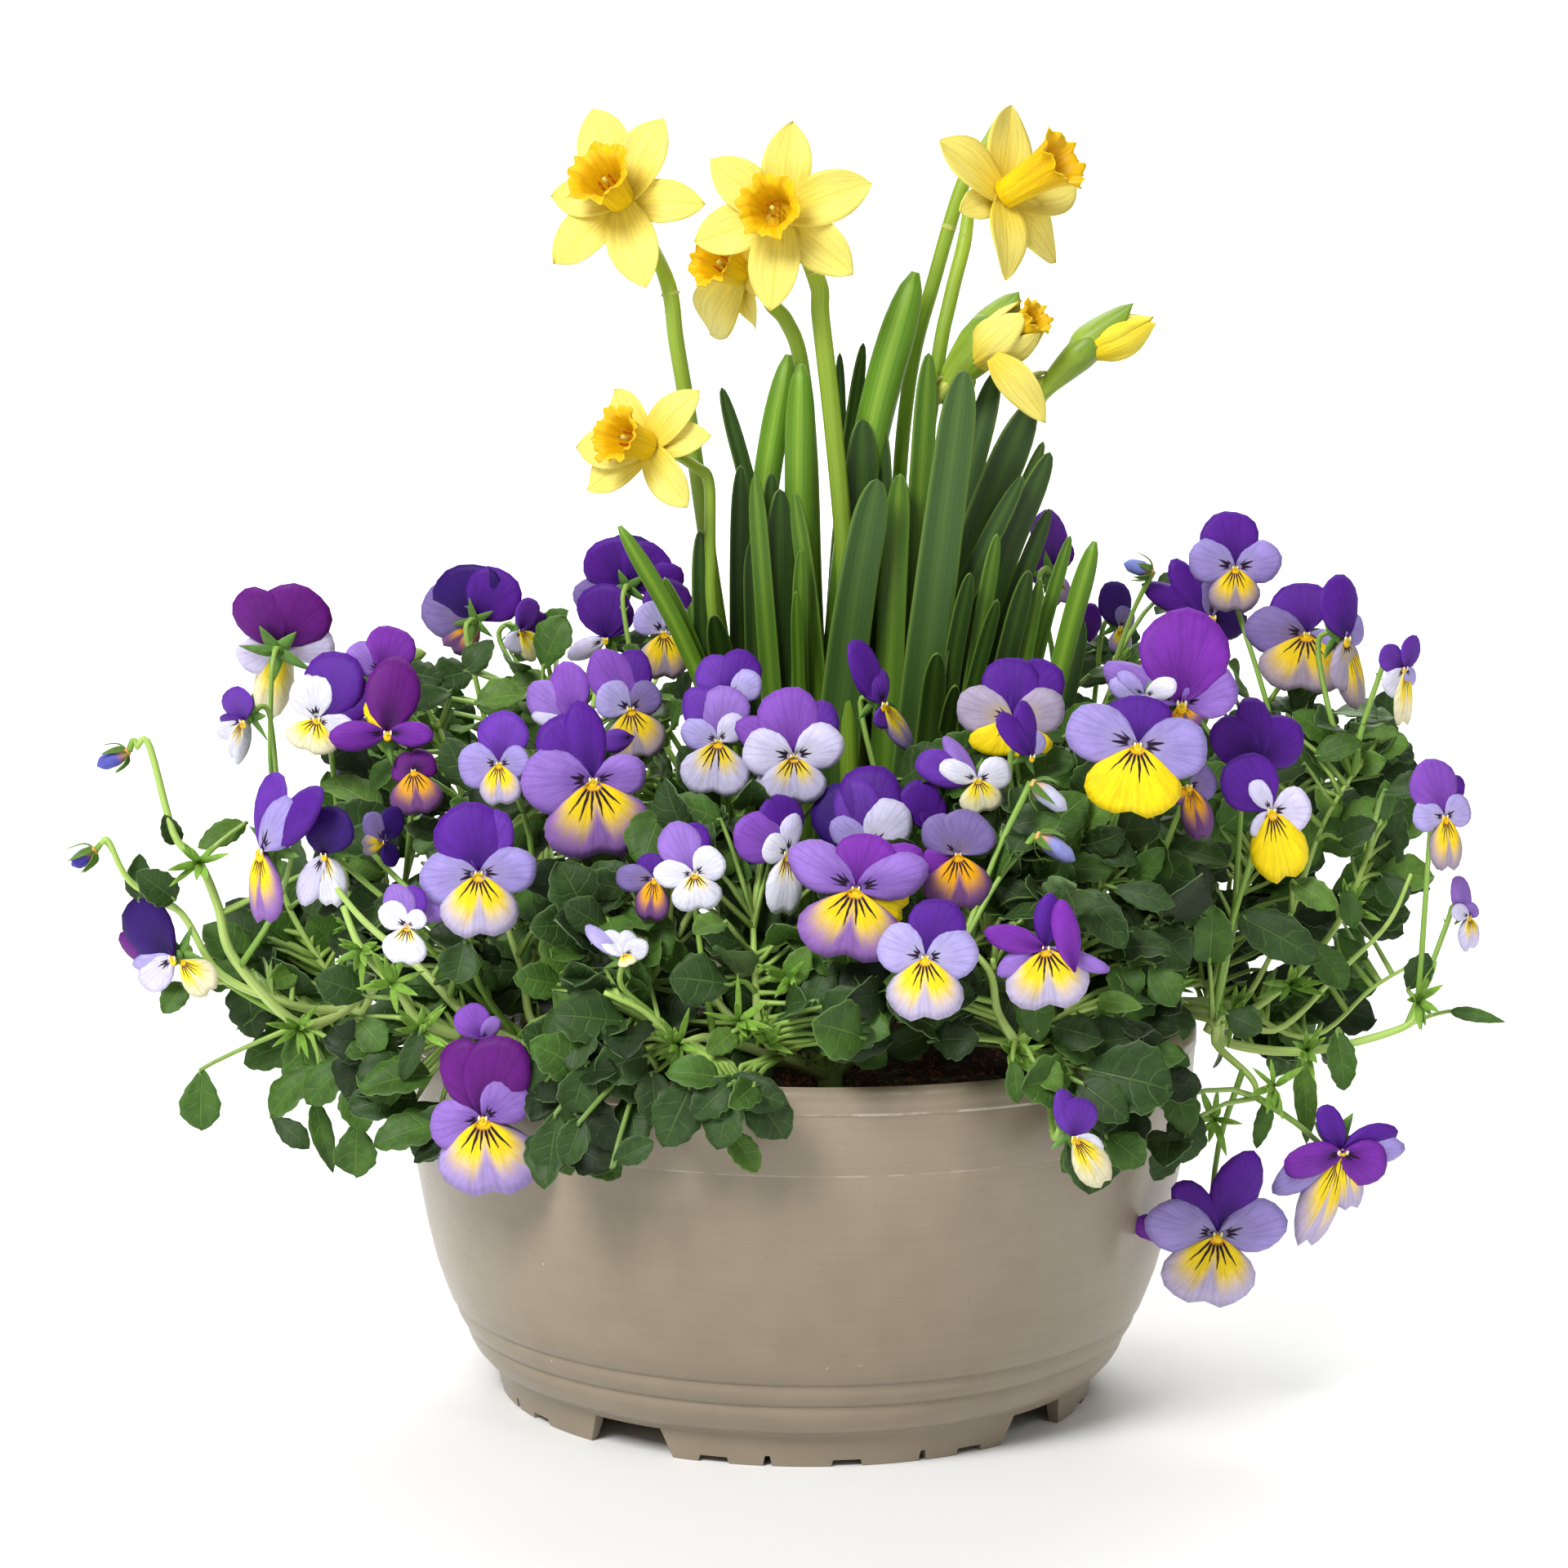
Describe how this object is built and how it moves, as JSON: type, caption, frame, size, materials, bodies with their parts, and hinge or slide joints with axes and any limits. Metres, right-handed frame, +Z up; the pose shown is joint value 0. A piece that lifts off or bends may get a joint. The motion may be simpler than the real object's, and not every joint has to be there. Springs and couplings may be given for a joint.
{
  "type": "flower planter bowl",
  "caption": "Round footed bowl planter filled with soil, with yellow daffodils standing behind a spreading mound of purple, lilac and yellow pansies.",
  "frame": {"origin": "middle of the bowl's foot, on the surface that it stands on", "axes": "+Z up along the bowl's axis, -Y towards the front, +X to the viewer's right"},
  "size_m": [0.4773, 0.3286, 0.429],
  "materials": {
    "bowl": "satin, taupe",
    "soil": "dull, fibrous",
    "daffodil_leaf": "satin, dark green",
    "daffodil_petal": "soft, pale yellow",
    "daffodil_trumpet": "soft, orange-yellow",
    "pansy_leaf": "satin, dark green",
    "petal_plum": "velvety, dark purple",
    "petal_violet": "velvety, violet and yellow",
    "petal_lilac": "velvety, lilac and yellow",
    "petal_white": "velvety, pale lilac, white and yellow",
    "petal_yellow": "velvety, yellow and violet"
  },
  "bodies": {
    "root": {"bowl": "bowl", "daffodil_behind_petals": "daffodil_petal", "daffodil_behind_trumpet": "daffodil_trumpet", "daffodil_bud_petals": "daffodil_petal", "daffodil_clump": "daffodil_leaf", "daffodil_left_petals": "daffodil_petal", "daffodil_left_trumpet": "daffodil_trumpet", "daffodil_low_petals": "daffodil_petal", "daffodil_low_trumpet": "daffodil_trumpet", "daffodil_middle_petals": "daffodil_petal", "daffodil_middle_trumpet": "daffodil_trumpet", "daffodil_opening_petals": "daffodil_petal", "daffodil_opening_trumpet": "daffodil_trumpet", "daffodil_right_petals": "daffodil_petal", "daffodil_right_trumpet": "daffodil_trumpet", "pansy_bloom_01": "petal_plum", "pansy_bloom_02": "petal_white", "pansy_bloom_03": "petal_plum", "pansy_bloom_04": "petal_plum", "pansy_bloom_05": "petal_white", "pansy_bloom_06": "petal_lilac", "pansy_bloom_08": "petal_lilac", "pansy_bloom_09": "petal_lilac", "pansy_bloom_10": "petal_yellow", "pansy_bloom_11": "petal_lilac", "pansy_bloom_12": "petal_white", "pansy_bloom_13": "petal_violet", "pansy_bloom_14": "petal_white", "pansy_bloom_15": "petal_white", "pansy_bloom_16": "petal_white", "pansy_bloom_17": "petal_violet", "pansy_bloom_18": "petal_violet", "pansy_bloom_19": "petal_lilac", "pansy_bloom_20": "petal_violet", "pansy_bloom_21": "petal_violet", "pansy_bloom_22": "petal_white", "pansy_bloom_24": "petal_yellow", "pansy_bloom_26": "petal_violet", "pansy_bloom_28": "petal_white", "pansy_bloom_29": "petal_violet", "pansy_bloom_30": "petal_plum", "pansy_bloom_31": "petal_plum", "pansy_bloom_33": "petal_lilac", "pansy_bloom_34": "petal_lilac", "pansy_bloom_35": "petal_violet", "pansy_bloom_36": "petal_lilac", "pansy_bloom_37": "petal_plum", "pansy_bloom_38": "petal_violet", "pansy_bloom_39": "petal_lilac", "pansy_bloom_40": "petal_violet", "pansy_bloom_41": "petal_yellow", "pansy_bloom_42": "petal_lilac", "pansy_bloom_43": "petal_violet", "pansy_leaves_back": "pansy_leaf", "pansy_leaves_front": "pansy_leaf", "pansy_leaves_front_left": "pansy_leaf", "pansy_leaves_front_right": "pansy_leaf", "pansy_leaves_left": "pansy_leaf", "pansy_leaves_right": "pansy_leaf", "soil": "soil"}
  },
  "joints": []
}
